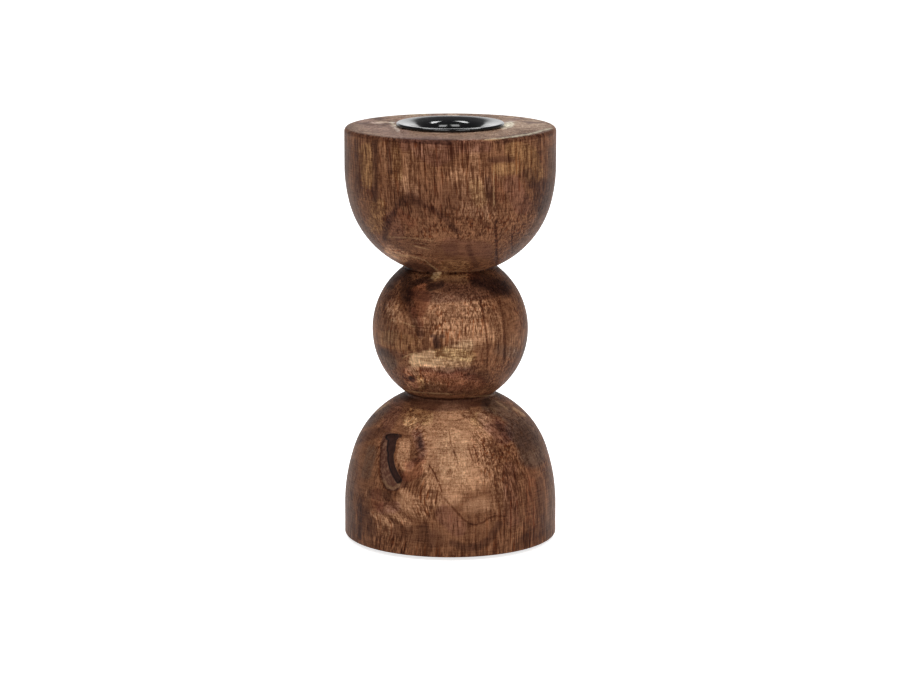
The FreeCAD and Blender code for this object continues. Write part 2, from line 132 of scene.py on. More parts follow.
def body_outline():
    """The turned surface, from the middle of its underside up to the rim, as (radius, height)."""
    base = PAD_THICKNESS
    side = (FOOT_RADIUS - FOOT_SIDE_RADIUS, base + FOOT_WALL_HEIGHT)
    step = FOOT_SIDE_RADIUS - FOOT_SHOULDER_RADIUS
    shoulder = (side[0] + step * math.cos(FOOT_SIDE_SWEEP),
                side[1] + step * math.sin(FOOT_SIDE_SWEEP))
    shoulder_end = math.acos((LOWER_NECK_RADIUS - shoulder[0]) / FOOT_SHOULDER_RADIUS)
    neck = shoulder[1] + FOOT_SHOULDER_RADIUS * math.sin(shoulder_end)
    ball_foot = neck + LOWER_NECK_LAND
    ball_start = math.acos(LOWER_NECK_RADIUS / BALL_RADIUS)
    ball_end = math.acos(UPPER_NECK_RADIUS / BALL_RADIUS)
    ball = ball_foot + BALL_RADIUS * math.sin(ball_start)
    ball_top = ball + BALL_RADIUS * math.sin(ball_end)
    bowl_foot = ball_top + UPPER_NECK_LAND
    bowl_step = BOWL_SIDE_RADIUS - BOWL_LOWER_RADIUS
    lower_x = BOWL_RADIUS - BOWL_SIDE_RADIUS + bowl_step * math.cos(BOWL_SIDE_SWEEP)
    lower_start = math.acos((UPPER_NECK_RADIUS - lower_x) / BOWL_LOWER_RADIUS)
    lower = (lower_x, bowl_foot + BOWL_LOWER_RADIUS * math.sin(lower_start))
    bowl_side = (BOWL_RADIUS - BOWL_SIDE_RADIUS, lower[1] + bowl_step * math.sin(BOWL_SIDE_SWEEP))
    top = bowl_side[1] + BOWL_WALL_HEIGHT
    edge = (FOOT_RADIUS - FOOT_EDGE_ROUND, base + FOOT_EDGE_ROUND)
    rim = (BOWL_RADIUS - BOWL_RIM_ROUND, top - BOWL_RIM_ROUND)
    surface = outline(
        line((0, base), (edge[0], base), 2 * COARSE_STEP),
        arc(edge, FOOT_EDGE_ROUND, -QUARTER, 0, FINE_STEP),
        line((FOOT_RADIUS, edge[1]), (FOOT_RADIUS, side[1]), STEP),
        arc(side, FOOT_SIDE_RADIUS, 0, FOOT_SIDE_SWEEP, FINE_STEP),
        arc(shoulder, FOOT_SHOULDER_RADIUS, FOOT_SIDE_SWEEP, shoulder_end, FINE_STEP),
        line((LOWER_NECK_RADIUS, neck), (LOWER_NECK_RADIUS, ball_foot), FINE_STEP),
        arc((0, ball), BALL_RADIUS, -ball_start, ball_end, STEP),
        line((UPPER_NECK_RADIUS, ball_top), (UPPER_NECK_RADIUS, bowl_foot), FINE_STEP),
        arc(lower, BOWL_LOWER_RADIUS, -lower_start, -BOWL_SIDE_SWEEP, STEP),
        arc(bowl_side, BOWL_SIDE_RADIUS, -BOWL_SIDE_SWEEP, 0, STEP),
        line((BOWL_RADIUS, bowl_side[1]), (BOWL_RADIUS, rim[1]), STEP),
        arc(rim, BOWL_RIM_ROUND, 0, QUARTER, FINE_STEP),
    )
    return surface, top


def socket_outline(top):
    """The bored socket and its pilot hole, from the top face down to the drill's point."""
    bore = CANDLE_BORE_RADIUS + CUP_SHEET + SOCKET_CLEARANCE
    mouth = bore + SOCKET_MOUTH_CHAMFER
    floor = top - CUP_DEPTH
    pilot = floor - PILOT_DEPTH
    return outline(
        line((BOWL_RADIUS - BOWL_RIM_ROUND, top), (mouth, top), 2 * STEP),
        line((mouth, top), (bore, top - SOCKET_MOUTH_CHAMFER), COARSE_STEP),
        line((bore, top - SOCKET_MOUTH_CHAMFER), (bore, floor), 4 * COARSE_STEP),
        line((bore, floor), (PILOT_RADIUS, floor), 4 * COARSE_STEP),
        line((PILOT_RADIUS, floor), (PILOT_RADIUS, pilot), 4 * COARSE_STEP),
        line((PILOT_RADIUS, pilot), (0, pilot - PILOT_RADIUS), COARSE_STEP),
    )


def cup_outline(top):
    """The closed section of the cup's sheet, round from the middle hole and back to it.

    The flange is one shallow arc that runs smoothly into the bead and into the mouth.
    """
    tip, root = QUARTER + CUP_FLANGE_TIP, QUARTER + CUP_FLANGE_ROOT
    floor = top - CUP_DEPTH
    inner_floor = floor + CUP_SHEET
    corner = (CANDLE_BORE_RADIUS - CUP_FLOOR_FILLET, inner_floor + CUP_FLOOR_FILLET)
    bead = (CUP_FLANGE_RADIUS - CUP_BEAD_RADIUS, top + CUP_RIM_CLEARANCE + CUP_BEAD_RADIUS)
    mouth_x = CANDLE_BORE_RADIUS + CUP_MOUTH_RADIUS
    span = bead[0] + CUP_BEAD_RADIUS * math.cos(tip) - mouth_x - CUP_MOUTH_RADIUS * math.cos(root)
    sweep = span / (math.cos(tip) - math.cos(root))
    centre = (bead[0] - (sweep - CUP_BEAD_RADIUS) * math.cos(tip),
              bead[1] - (sweep - CUP_BEAD_RADIUS) * math.sin(tip))
    mouth = (mouth_x, centre[1] + (sweep - CUP_MOUTH_RADIUS) * math.sin(root))
    outer = CANDLE_BORE_RADIUS + CUP_SHEET
    under_mouth = CUP_MOUTH_RADIUS - CUP_SHEET
    under_bead = CUP_BEAD_RADIUS - CUP_SHEET
    return outline(
        line((SCREW_HOLE_RADIUS, inner_floor), (corner[0], inner_floor), STEP),
        arc(corner, CUP_FLOOR_FILLET, -QUARTER, 0, CUP_STEP),
        line((CANDLE_BORE_RADIUS, corner[1]), (CANDLE_BORE_RADIUS, mouth[1]), STEP),
        arc(mouth, CUP_MOUTH_RADIUS, math.pi, root, CUP_STEP),
        arc(centre, sweep, root, tip, CUP_STEP),
        arc(bead, CUP_BEAD_RADIUS, tip, -CUP_CURL_END, CUP_STEP / 2),
        arc(bead, under_bead, -CUP_CURL_END, tip, CUP_STEP / 2),
        arc(centre, sweep - CUP_SHEET, tip, root, CUP_STEP),
        arc(mouth, under_mouth, root, math.pi, CUP_STEP),
        line((outer, mouth[1]), (outer, corner[1]), 4 * STEP),
        arc(corner, CUP_FLOOR_FILLET + CUP_SHEET, 0, -QUARTER, CUP_STEP),
        line((corner[0], floor), (SCREW_HOLE_RADIUS, floor), 4 * STEP),
    )


def link(name, data):
    """A new object in the scene, which shows the data."""
    made = bpy.data.objects.new(name, data)
    bpy.context.collection.objects.link(made)
    return made


def turned_mesh(name, points, turns, closed=False):
    """A mesh turned from an outline of (radius, height), with one column for each turn.

    An angle of zero faces -Y and positive ones go towards +X. An end on the axis becomes a
    single point with a fan of triangles.
    """
    first_on_axis, last_on_axis = points[0][0] < ON_AXIS, points[-1][0] < ON_AXIS
    ring = points[int(first_on_axis):len(points) - int(last_on_axis)]
    rows, columns = len(ring), len(turns)
    radius, height = ring[:, :1], ring[:, 1:]
    verts = np.stack((
        radius * np.sin(turns), -radius * np.cos(turns), np.broadcast_to(height, (rows, columns)),
    ), axis=-1).reshape(-1, 3).tolist()
    index = np.arange(rows * columns).reshape(rows, columns)
    beside = np.roll(index, -1, axis=1)
    quads = np.stack((index[:-1], beside[:-1], beside[1:], index[1:]), axis=-1)
    faces = quads.reshape(-1, 4).tolist()
    if closed:
        faces += np.stack((index[-1], beside[-1], beside[0], index[0]), axis=-1).tolist()
    if first_on_axis:
        verts.append((0, 0, points[0][1]))
        faces += [(len(verts) - 1, b, a) for a, b in zip(index[0].tolist(), beside[0].tolist())]
    if last_on_axis:
        verts.append((0, 0, points[-1][1]))
        faces += [(len(verts) - 1, a, b) for a, b in zip(index[-1].tolist(), beside[-1].tolist())]
    mesh = bpy.data.meshes.new(name)
    mesh.from_pydata(verts, [], faces)
    mesh.update()
    mesh.shade_smooth()
    return link(name, mesh)


def body_turns():
    """Columns around the axis, close together in front and closest at the bark pocket."""
    return np.radians(np.concatenate([np.arange(*sector) for sector in SECTORS]))


# Marks on the wood: its own colours, and painted shade, sheen and highlights. A stroke is drawn
# over the photograph's pixels: its half width, the width of its soft edge, its strength, and the
# pixels that it runs through.

# Tones of the marks, as they turn the wood's middle colour, and how much they cover. The first tone
# is painted grey sheen and shade, and some umber and tan marks are painted shade and sheen. The
# unseen sides get patches of some of them.

TONES = {
    # Painted grey sheen and shade: this tone darkens and greys the edges and shoulders
    "painted_edge_sheen_and_shade": ((84, 66, 55), 0.75),
    "rose": ((106, 67, 51), 0.8),
    "rust": ((114, 66, 44), 0.8),
    # Tan: pale wood, and partly a painted sheen on the upper fronts of the ball and the foot
    "tan_and_sheen": ((174, 127, 94), 0.85),
    "straw": ((142, 101, 66), 0.8),
    # Umber: dark wood, and painted shade and shadow under the ball and the bowl and on the sides
    "umber_and_shade": ((72, 42, 30), 0.8),
    "bark": ((46, 24, 18), 0.95),
    "cream": ((200, 158, 118), 0.9),
}

PATCHES = ("rose", "rust", "tan_and_sheen", "straw", "umber_and_shade")

# Marks of each tone, and of two zones: where fibres run across, and where the figure is calm

MARKS = {
    # Painted grey sheen and shade along the edges and shoulders, and a painted shadow on the ball's
    # left
    "painted_edge_sheen_and_shade": [
        (1, 7, 0.5, (347, 150), (348, 185), (360, 222), (380, 250)),
        (1, 7, 0.6, (552, 150), (550, 190), (536, 225), (514, 252)),
        (2, 5, 0.7, (528, 300), (532, 330), (524, 362)),
        (8, 10, 0.9, (518, 428), (528, 440), (532, 456)),
        (4, 7, 0.8, (488, 404), (506, 412), (516, 424)),
        (2, 7, 0.5, (352, 462), (349, 500), (352, 535)),
        (2, 6, 0.5, (549, 470), (552, 500), (548, 535)),
        (2, 5, 0.7, (386, 408), (368, 424)),
        (3, 6, 0.9, (384, 354), (392, 364)),
        (3, 6, 0.6, (372, 450), (366, 474)),
        (4, 6, 0.5, (500, 350), (512, 352)),
        (6, 8, 0.4, (384, 312), (390, 336)),
    ],
    "rose": [
        (4, 6, 0.9, (405, 144), (430, 143), (455, 146), (486, 146)),
        (4, 6, 0.8, (420, 152), (436, 160), (450, 154)),
        (6, 6, 0.7, (450, 246), (484, 250)),
        (4, 6, 0.8, (392, 218), (398, 234)),
        (6, 8, 0.8, (512, 185), (522, 205)),
        (4, 5, 0.8, (398, 404), (388, 424)),
        (2.5, 6, 0.8, (417, 434), (422, 452)),
        (6, 6, 0.9, (486, 418), (504, 436)),
        (4, 5, 0.8, (383, 508), (394, 507)),
        (6, 7, 0.8, (444, 514), (458, 528)),
        (4, 6, 0.6, (358, 116), (376, 128), (404, 133)),
        (5, 8, 0.6, (510, 470), (512, 520)),
        (4, 5, 0.6, (444, 372), (470, 374)),
    ],
    "rust": [
        (5, 5, 0.9, (416, 294), (424, 298), (418, 312)),
        (2, 3, 0.7, (419, 312), (421, 324)),
        (2.5, 2.5, 0.8, (470, 277), (477, 276)),
        (2, 2.5, 0.9, (417, 288), (424, 286)),
        (5, 6, 0.9, (426, 372), (436, 374), (462, 380)),
        (4, 7, 0.8, (452, 384), (478, 382)),
        (3, 5, 0.7, (404, 372), (416, 384)),
        (4, 5, 0.8, (408, 476), (418, 471)),
        (2, 5, 0.8, (408, 466), (422, 460)),
        (3, 5, 0.6, (498, 186), (500, 198)),
        (4, 6, 0.5, (530, 470), (532, 520)),
        (4, 5, 0.7, (376, 494), (378, 506)),
        (3, 4, 0.6, (398, 212), (412, 224)),
    ],
    "tan_and_sheen": [
        (2, 6, 0.3, (384, 150), (388, 166)),
        (2, 8, 0.4, (414, 151), (440, 149)),
        (4, 9, 0.6, (400, 182), (414, 190)),
        (5, 10, 0.5, (456, 176), (484, 184)),
        (3, 8, 0.5, (474, 152), (479, 174)),
        (4, 9, 0.6, (466, 208), (488, 213)),
        (3, 5, 0.8, (390, 250), (404, 257)),
        # The next two are partly pale wood and partly a painted sheen of the light on the ball's
        # upper front
        (6, 14, 0.7, (440, 306), (474, 308)),
        (6, 15, 0.8, (446, 328), (478, 332)),
        (4, 6, 0.6, (392, 306), (396, 318)),
        (3, 8, 0.5, (495, 318), (497, 338)),
        (3, 7, 0.3, (410, 316), (415, 332)),
        (4, 7, 0.6, (422, 322), (430, 334)),
        (3, 9, 0.4, (516, 340), (512, 356)),
        # The next seven, on the foot's middle, are partly pale wood and partly a painted sheen of
        # the light
        (6, 24, 1.0, (440, 432), (470, 436), (472, 472), (450, 474)),
        (8, 14, 1.0, (434, 434), (438, 466), (450, 490)),
        (8, 14, 0.9, (456, 424), (476, 436)),
        (5, 8, 0.6, (412, 424), (422, 436)),
        (6, 12, 0.8, (438, 478), (460, 484)),
        (4, 8, 0.5, (436, 426), (456, 430)),
        (8, 12, 0.8, (450, 416), (476, 424)),
        (4, 4, 0.9, (405, 444), (403, 458), (408, 466)),
        (1.5, 5, 0.8, (374, 512), (390, 525)),
        (1.5, 5, 0.8, (388, 509), (408, 524)),
        (1, 4, 0.5, (378, 526), (388, 533)),
        (2.5, 3.5, 1.0, (404, 492), (414, 501)),
        (3, 4, 0.9, (410, 371), (432, 370)),
        (3, 4, 0.8, (412, 385), (426, 381)),
        (5, 9, 0.35, (512, 122), (540, 124)),
        (4, 9, 0.7, (404, 503), (422, 511)),
        (4, 8, 0.9, (430, 452), (430, 482)),
        (4, 8, 0.6, (426, 498), (437, 502)),
        (2.5, 5, 0.5, (412, 326), (420, 338)),
        (3, 7, 0.5, (462, 190), (490, 206)),
        (3, 6, 0.4, (409, 158), (412, 178)),
        (2, 5, 0.4, (368, 493), (382, 500)),
        (4, 8, 0.6, (470, 506), (486, 504)),
        (4, 12, 0.4, (492, 468), (502, 506)),
        (5, 9, 0.5, (430, 381), (472, 384)),
    ],
    "straw": [
        (4, 6, 0.9, (366, 150), (368, 182)),
        (3, 5, 0.6, (396, 150), (398, 176)),
        (3, 6, 0.9, (498, 169), (517, 168)),
        (6, 7, 0.9, (514, 150), (528, 154), (534, 174)),
        (5, 6, 0.6, (476, 186), (480, 200)),
        (5, 7, 0.7, (378, 206), (376, 226)),
        (5, 6, 0.6, (410, 420), (416, 413), (426, 418)),
        (2.5, 3, 1.0, (432, 279), (442, 277)),
        (4, 4, 0.7, (446, 277), (464, 279)),
        (6, 7, 0.5, (386, 338), (412, 344)),
        (4, 5, 0.6, (446, 266), (464, 266)),
        (4, 4, 0.9, (440, 352), (470, 356)),
        (5, 7, 0.5, (478, 420), (490, 414)),
        (2, 3, 0.8, (420, 378), (422, 388)),
    ],
    # Dark figure of the wood, and the painted shade and shadows labelled below
    "umber_and_shade": [
        (1.5, 2.5, 0.9, (350, 133), (376, 138), (400, 140), (450, 142.5)),
        (2, 4, 0.9, (498, 141), (530, 136), (550, 132)),
        (1.5, 3, 0.8, (374.5, 142), (375, 200)),
        (1.5, 3, 0.6, (356, 142), (357, 196)),
        (1.5, 3, 0.6, (389, 142), (390, 172)),
        (3, 5, 0.9, (402, 202), (410, 196), (420, 203)),
        (1, 4.5, 0.9, (399, 203), (391, 216), (386, 228), (384, 240)),
        (0.8, 4.5, 0.8, (424, 205), (437, 212), (449, 223), (458, 232)),
        (1, 5, 0.7, (490, 160), (512, 159)),
        (2, 3, 0.9, (488, 180), (489, 197)),
        (4, 5, 0.8, (528, 174), (531, 182)),
        (5, 7, 0.7, (544, 186), (540, 206)),
        (5, 5, 0.5, (390, 242), (420, 246), (452, 250)),
        (2.5, 2.5, 0.9, (408, 265), (420, 267), (432, 270)),
        (1.5, 3, 0.7, (468, 247), (476, 265)),
        # Painted shade on the ball's top, under the bowl
        (4, 7, 0.9, (446, 286), (470, 285), (500, 288)),
        # Painted shade on the foot's right shoulder
        (7, 10, 0.6, (510, 428), (526, 440)),
        # Painted shade on the ball's left side
        (2, 5, 0.7, (373, 348), (384, 352), (400, 357)),
        (2, 4, 0.5, (404, 368), (413, 370)),
        (2, 5, 0.8, (409, 300), (414, 316), (421, 334)),
        (3, 6, 0.4, (470, 384), (488, 388)),
        (5, 8, 0.35, (404, 218), (430, 226)),
        (4, 8, 0.35, (446, 500), (462, 507), (482, 507)),
        # Painted shade on the ball's top, under the bowl
        (3, 5, 0.8, (410, 294), (440, 298), (470, 296), (492, 293)),
        # Painted shadow on the foot's top, under the ball
        (2, 4, 0.9, (414, 405), (440, 408), (466, 406)),
        (2.5, 4, 0.8, (400, 474), (404, 484)),
        (3, 5, 0.7, (372, 494), (388, 496)),
        (3, 6, 0.6, (364, 510), (372, 532)),
        (4, 6, 0.6, (540, 530), (520, 544)),
        (4, 6, 0.7, (388, 300), (392, 292)),
        # Painted shadow in the ring where the ball meets the lower neck
        (3, 3, 1.0, (404, 396), (420, 401), (450, 403), (486, 402)),
        (3, 5, 0.8, (354, 440), (372, 434), (386, 431)),
        (1.5, 5, 0.8, (419, 436), (421, 448)),
        (1, 5, 0.8, (410, 466), (414, 461), (422, 457)),
        (2, 3, 0.8, (498, 424), (507, 440)),
        (1, 3, 0.8, (360, 500), (360, 538)),
        (3, 5, 0.6, (424, 528), (432, 544)),
        (2, 4, 0.8, (452, 543), (466, 548), (480, 546), (490, 539), (499, 524)),
        (2, 4, 0.6, (540, 480), (543, 530)),
        (3, 5, 0.6, (416, 387), (440, 391), (470, 389)),
        (3, 6, 0.6, (470, 376), (486, 378)),
        (10, 24, 0.5, (410, 202), (480, 202)),
        (5, 9, 0.5, (368, 418), (384, 408)),
        (1, 4, 0.7, (422, 369), (450, 371), (476, 368)),
        (5, 8, 0.5, (398, 532), (440, 538)),
        (2, 5, 0.5, (348, 126), (362, 130)),
    ],
    "bark": [
        (3, 8, 0.8, (407, 281), (406, 290), (407, 296)),
        (1.5, 7, 0.8, (390, 285), (397, 277), (408, 271)),
        (0.8, 4, 0.7, (419.5, 439), (421, 446)),
        (1.5, 3.5, 0.9, (412, 284), (424, 280), (431, 280)),
        (2.5, 4, 0.9, (430, 287), (440, 284)),
        (4, 9, 0.85, (478, 279), (492, 284), (504, 290)),
        (1.5, 2, 1.0, (410.5, 378), (413, 380)),
        (1, 2, 1.0, (386, 434.5), (400, 436)),
        (2.5, 2.5, 1.0, (436, 341), (437.5, 346)),
        (1.2, 2, 0.8, (432, 336.5), (443, 336.5)),
    ],
    "cream": [
        (0.8, 1.2, 1.0, (434, 274), (440, 273)),
        (1.5, 2.5, 0.5, (433, 277.5), (438, 276)),
        (1.2, 7, 0.85, (414, 361), (420, 361), (430, 363), (440, 362)),
        (2.5, 6, 0.5, (436, 366), (450, 368)),
        # Partly pale wood and partly a painted sheen on the foot's middle
        (11, 15, 0.22, (452, 446), (455, 472)),
        (2, 9, 0.5, (442, 360), (454, 362)),
        (1.5, 7, 0.9, (416, 358), (424, 356), (431, 354)),
        (2, 10, 0.5, (448, 352), (468, 346)),
        (2, 12, 0.5, (444, 359), (466, 361)),
        (1, 3, 0.45, (392, 123), (398, 130)),
        (1.5, 4, 0.5, (503, 126), (511, 124)),
    ],
    "across": [
        (8, 4, 1.0, (440, 356), (470, 356)),
        (6, 5, 1.0, (410, 360), (430, 358)),
        (7, 6, 0.9, (388, 246), (430, 250), (480, 252)),
        (10, 10, 0.4, (456, 460), (470, 500)),
    ],
    "calm": [
        (6, 8, 1.0, (446, 252), (484, 250)),
        (16, 16, 0.9, (446, 430), (466, 496)),
        (8, 8, 0.9, (403, 440), (406, 470)),
        (10, 9, 1.0, (364, 436), (360, 478)),
        (9, 9, 0.7, (380, 500), (404, 506)),
        (5, 5, 0.9, (402, 400), (480, 404)),
        (5, 5, 0.8, (408, 290), (422, 300)),
        (6, 6, 0.7, (522, 432), (530, 446)),
        (7, 9, 0.6, (412, 532), (450, 540), (495, 532)),
    ],
}

# Thin lines: half width, strength, and the pixels they run through

# Dark lines of the grain, and one painted line of shade in the groove at the lower neck
DARK_LINES_AND_GROOVE_SHADE = [
    (0.8, 0.8, (445, 499), (454, 509), (464, 520), (470, 524), (476, 525), (484, 522), (488, 518),
     (496, 516), (504, 516)),
    (0.7, 1.0, (430, 466), (435, 474), (442, 491)),
    (0.9, 0.9, (480, 300), (484, 318), (487, 336), (487.5, 352), (487, 366)),
    (0.8, 0.7, (500, 302), (503, 318), (504.5, 336), (504, 364)),
    (0.9, 0.5, (400, 297), (406, 310), (413, 325), (422, 343)),
    (1.8, 0.4, (386, 236), (391, 220), (397, 208), (404, 199)),
    (2.4, 0.45, (402, 202), (409, 195), (418, 201), (424, 206)),
    (1.6, 0.35, (424, 206), (436, 213), (447, 222), (456, 231)),
    (0.6, 0.6, (418, 327.5), (434, 329), (455, 330)),
    (1.1, 1.0, (495.5, 222), (496.5, 244), (496.5, 264)),
    (0.8, 0.9, (512, 234), (512, 252)),
    (0.6, 0.7, (449, 432), (451, 444), (456, 456), (458, 464)),
    (0.7, 0.8, (468, 445), (470, 453), (473, 461)),
    (0.7, 0.8, (474, 447), (477, 456), (479, 464)),
    (0.6, 0.7, (484, 448), (487, 458)),
    (0.7, 0.7, (469, 409), (476, 418), (484, 427)),
    (0.8, 0.7, (486, 404), (494, 415), (500, 426)),
    (0.9, 0.8, (384.6, 434), (380.4, 448), (379, 463), (380, 477), (384.5, 487.5), (391, 492),
     (397, 489.5)),
    (0.7, 0.8, (420, 372), (425, 378), (425, 388)),
    (0.6, 0.9, (398, 482), (402, 477), (399, 470)),
    (0.6, 0.6, (440, 419), (456, 421), (470, 416)),
    (0.8, 0.9, (404, 268), (416, 271.5), (427, 273)),
    (0.8, 0.9, (448, 274), (480, 272), (494, 267)),
    # Painted shade in the groove where the ball meets the lower neck
    (0.8, 0.9, (407, 394), (425, 398), (450, 399.5), (475, 398), (492, 394)),
]
# Pale lines of the grain, and painted highlights, sheen and reflections, as labelled
LIGHT_LINES_AND_HIGHLIGHTS = [
    (1.2, 0.35, (383.5, 481), (387.5, 487), (393, 488.5), (399, 485)),
    (0.5, 0.4, (389, 237), (410, 238), (432, 240.5)),
    (0.6, 0.5, (415, 246), (427, 249)),
    (0.6, 0.6, (395, 255), (410, 256), (424, 260), (437, 270)),
    # Painted highlight along the ball's lower edge, just above the lower neck
    (0.5, 0.6, (401, 390), (420, 392.5), (450, 394)),
    (0.5, 0.5, (471, 397), (494, 395)),
    (0.6, 0.7, (404, 357), (414, 353)),
    # Painted highlight along the bowl's rounded rim
    (0.6, 0.9, (485, 140), (497, 139.3)),
    (0.5, 0.7, (500, 138.5), (530, 134), (550, 128.5)),
    (0.5, 0.6, (493.5, 172), (494, 204)),
    (0.5, 0.5, (392, 320), (404, 323), (413, 326)),
    (0.5, 0.5, (374, 296), (381, 286), (392, 276)),
    # Painted reflections and sheen on the foot's shoulders
    (0.8, 0.9, (514, 408.5), (524, 415)),
    (0.5, 0.6, (496, 401), (506, 408)),
    (1.1, 0.8, (376, 411), (388, 402.5)),
]

# In pixels: how far from a line its offset is stored, how far the line fades past its end, and how
# much farther off a vertex counts that is turned away

LINE_REACH = 5.0
LINE_END_FADE = 3.0
TURNED_AWAY = 100

# Marks fade where the cosine of the surface's angle to the camera falls below this. The marks show
# in front, and on a thin layer at the very top

FACING_FADE = 0.06
TOP_LAYER = 1.0 * MM

# The sides that the photograph doesn't show begin at the axis, and fade in over this depth

UNSEEN_FADE = 16 * MM

# The bark pocket and the channel in it, dark with bark and painted shade

POCKET = (5.5, 1.2, 1.0, (388, 438), (385.5, 450), (385, 463), (386, 475), (390, 485), (394, 485))
POCKET_DEPTH = 0.35 * MM
CHANNEL_STROKES = [
    (2.2, 1.2, 1.0, (387, 437.5), (395.5, 437)),
    (3.8, 1.6, 1.0, (391.5, 440), (390.7, 443), (389.9, 450)),
    (2.6, 1.6, 1.0, (389.9, 450), (389.4, 459), (391, 467), (394.5, 475), (398, 480.5)),
]
CHANNEL_DEPTH = 0.9 * MM

# Knots that the grain runs round: a pixel and the reach of the bend, with the strength of all bends
# and how slowly they fade. Leaning grain: a pixel, its reach across and upwards, and how far the
# fibres move sideways for each millimetre of height

KNOTS = [
    ((391, 462), 4.5 * MM),
    ((420, 444), 3.0 * MM),
    ((416, 461), 2.5 * MM),
    ((430, 283), 4.5 * MM),
    ((412, 379), 3.0 * MM),
    ((437, 341), 2.0 * MM),
]
LEANS = [
    ((396, 512), 13 * MM, 9 * MM, 0.75),
    ((500, 424), 10 * MM, 8 * MM, 0.5),
    ((408, 420), 8 * MM, 7 * MM, -0.5),
    ((412, 318), 7 * MM, 8 * MM, 0.4),
]
KNOT_BEND, KNOT_FADE = 0.7, 6

# The grain's sway sideways and in depth, in millimetres, and its lean. Then the lengths of its
# waves, and where in a wave each begins, in radians

SWAY, SHORT_SWAY, DEPTH_SWAY, LEAN = 0.9, 0.6, 0.7, 0.02
LONG_WAVE, SHORT_WAVE, SIDE_WAVE = 31, 13, 24
DEPTH_WAVE, DEPTH_SIDE_WAVE = 23, 40
LONG_START, SHORT_START, DEPTH_START = 0.4, 1.7, 2.1


def add_values(mesh, name, values):
    """Stores one number, or one vector, for each vertex under a name that materials read."""
    kind, field = ("FLOAT", "value") if values.ndim == 1 else ("FLOAT_VECTOR", "vector")
    layer = mesh.attributes.new(name, kind, "POINT")
    layer.data.foreach_set(field, np.ascontiguousarray(values, np.float32).ravel())


def vertex_vectors(piece, field="co"):
    """A vector of each vertex: its place, or another field."""
    values = np.empty(len(piece.data.vertices) * 3, np.float32)
    piece.data.vertices.foreach_get(field, values)
    return values.reshape(-1, 3).astype(float)


def move_vertices(piece, places):
    """Puts the vertices at new places."""
    piece.data.vertices.foreach_set("co", places.astype(np.float32).ravel())
    piece.data.update()


class View:
    """The photograph's camera: where it sees each vertex, and which ones face it."""

    def __init__(self, piece):
        self.places = vertex_vectors(piece)
        away = self.places - np.array(CAMERA_PLACE)
        tilt = np.array((0, math.cos(CAMERA_TILT), math.sin(CAMERA_TILT)))
        depth = away @ (tilt * (1, 1, -1))
        up = away @ tilt[[0, 2, 1]]
        self.pixels = np.column_stack((PHOTO_SIZE[0] / 2 + FOCAL_PIXELS * away[:, 0] / depth,
                                       PHOTO_SIZE[1] / 2 - FOCAL_PIXELS * up / depth))
        facing = -np.einsum("ij,ij->i", vertex_vectors(piece, "normal"), away)
        self.facing = np.clip(facing / np.linalg.norm(away, axis=1) / FACING_FADE, 0, 1)
        height = self.places[:, 2]
        self.facing *= (self.places[:, 1] < 0) | (height > height.max() - TOP_LAYER)

    def offsets(self, stops):
        """Signed distance from a run of straight stretches, and how far beyond its ends."""
        nearest = np.full(len(self.pixels), np.inf)
        offset, beyond = nearest.copy(), nearest.copy()
        for start, end in zip(np.array(stops[:-1], float), np.array(stops[1:], float)):
            length = math.dist(start, end)
            way = (end - start) / length
            away = self.pixels - start
            along = away @ way
            side = away @ np.array((-way[1], way[0]))
            past = np.maximum(np.maximum(-along, along - length), 0)
            distance = np.hypot(side, past)
            closer = distance < nearest
            nearest = np.where(closer, distance, nearest)
            offset, beyond = np.where(closer, side, offset), np.where(closer, past, beyond)
        return offset, beyond

    def stroke(self, half_width, softness, strength, *stops):
        """How much a stroke covers each vertex."""
        offset, beyond = self.offsets(stops)
        share = np.clip((half_width + softness - np.hypot(offset, beyond)) / softness, 0, 1)
        return strength * self.facing * share * share * (3 - 2 * share)

    def strokes(self, marks):
        """How much the strongest of several strokes covers each vertex."""
        return np.max([self.stroke(*mark) for mark in marks], axis=0)

    def lines(self, lines):
        """For each vertex the offset from the nearest line, that line's width and its strength."""
        values = np.zeros((len(self.pixels), 3))
        values[:, 0] = LINE_REACH
        nearest = np.full(len(self.pixels), LINE_REACH)
        for half_width, strength, *stops in lines:
            offset, beyond = self.offsets(stops)
            distance = np.hypot(offset, beyond)
            closer = distance < nearest
            nearest = np.where(closer, distance, nearest)
            shown = strength * np.clip(1 - beyond / LINE_END_FADE, 0, 1) * (self.facing > 0)
            width = np.full(len(offset), half_width)
            values[closer] = np.column_stack((offset, width, shown))[closer]
        return values

    def nearest_to(self, pixel):
        """The facing vertex that the camera sees nearest to a pixel."""
        distance = np.hypot(*(self.pixels - pixel).T) + TURNED_AWAY * (self.facing < 0.5)
        return self.places[np.argmin(distance)]


def grain_places(view):
    """Each vertex's place in a straight-grained block, before knots and leans bent the grain."""
    places = view.places
    x, y, z = places.T / MM
    grain = places.copy()
    short = SHORT_SWAY * np.sin(z / SHORT_WAVE + x / SIDE_WAVE + SHORT_START)
    sway = np.sin(z / LONG_WAVE + LONG_START) + short
    grain[:, 0] += (SWAY * sway + LEAN * z) * MM
    grain[:, 1] += DEPTH_SWAY * np.sin(z / DEPTH_WAVE + DEPTH_START + y / DEPTH_SIDE_WAVE) * MM
    for pixel, reach in KNOTS:
        away = places - view.nearest_to(pixel)
        near = (away[:, 0] ** 2 + (away[:, 2] / 2) ** 2 + (away[:, 1] / 2) ** 2) / reach ** 2
        grain[:, 0] -= KNOT_BEND * away[:, 0] / (near + 1) * np.exp(-near / KNOT_FADE)
    for pixel, reach, rise, slope in LEANS:
        away = places - view.nearest_to(pixel)
        near = (away[:, 0] / reach) ** 2 + (away[:, 2] / rise) ** 2 + (away[:, 1] / reach / 2) ** 2
        grain[:, 0] += slope * away[:, 2] * np.exp(-near)
    return grain


